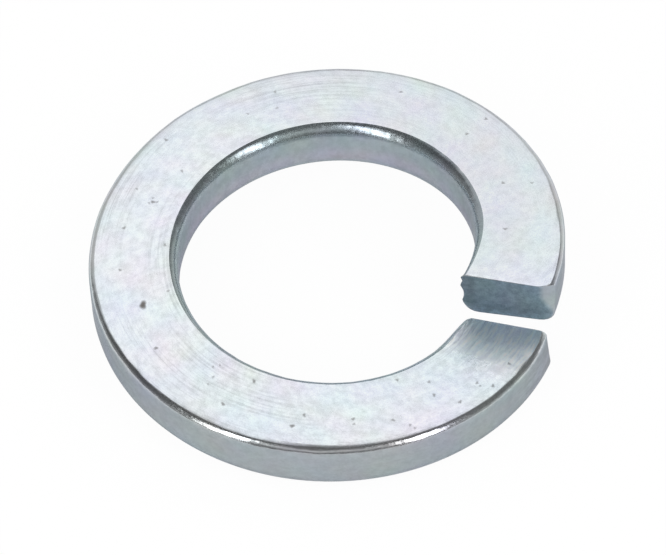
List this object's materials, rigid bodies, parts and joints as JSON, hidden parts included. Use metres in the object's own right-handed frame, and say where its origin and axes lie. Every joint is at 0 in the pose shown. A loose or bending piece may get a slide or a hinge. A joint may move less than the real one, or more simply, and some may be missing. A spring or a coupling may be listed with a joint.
{
  "type": "spring lock washer",
  "caption": "Split ring of rounded rectangular spring-steel wire, wound as a left-hand helix with sheared, offset ends, that keeps a bolted joint from working loose.",
  "frame": {"origin": "on the bore axis, level with the underside of the lower end", "axes": "+Z along the bore axis, from the lower end towards the higher end; +X from the axis through the slit"},
  "size_m": [0.0326, 0.0326, 0.0084],
  "materials": {
    "zinc_plated_steel": "bright zinc plating with a faint blue tint, fine lines along the drawn wire and small dark pits"
  },
  "bodies": {
    "root": {"spring_lock_washer": "zinc_plated_steel"}
  },
  "joints": []
}
